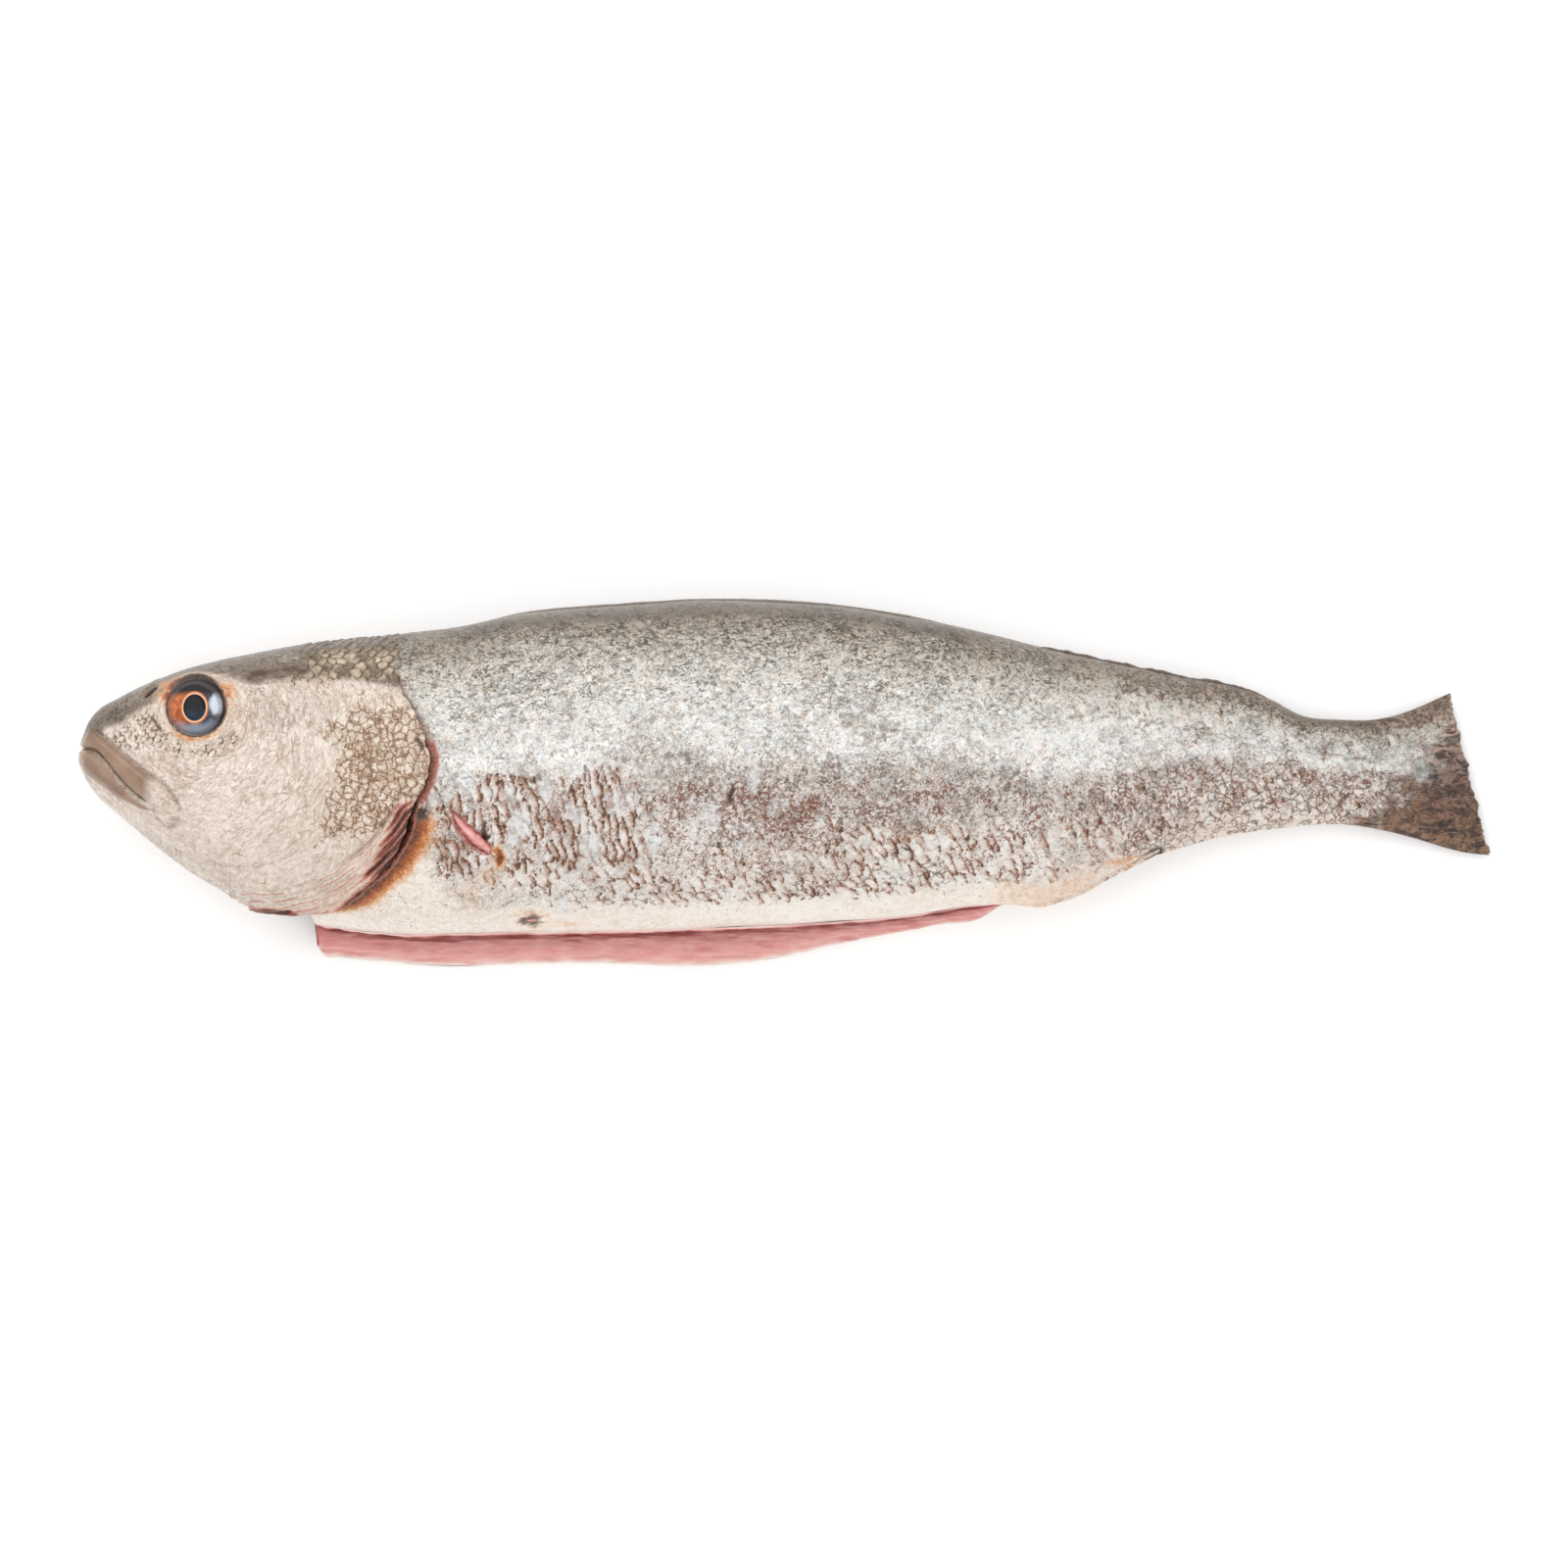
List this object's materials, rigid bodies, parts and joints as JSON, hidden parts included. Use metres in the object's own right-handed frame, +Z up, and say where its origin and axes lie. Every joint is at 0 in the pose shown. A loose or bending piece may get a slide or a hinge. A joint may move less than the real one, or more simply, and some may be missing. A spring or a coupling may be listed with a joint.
{
  "type": "whole raw fish",
  "caption": "Whole raw gutted fish lying on its side, with a slit belly, gill covers, trimmed fins and a short-cut tail.",
  "frame": {"origin": "middle of the fish's outline as it lies, on the surface that it lies on", "axes": "+X from the snout to the tail, +Y from the slit belly to the back, +Z up, out of the fish's left side"},
  "size_m": [0.4498, 0.117, 0.0569],
  "materials": {
    "skin": "wet silver-grey scales, satin sheen",
    "flesh": "moist pink belly flesh, satin",
    "eye": "clear wet cornea over a dark pupil, gloss"
  },
  "bodies": {
    "root": {"body": "skin", "eye_left": "eye", "eye_right": "eye"}
  },
  "joints": []
}
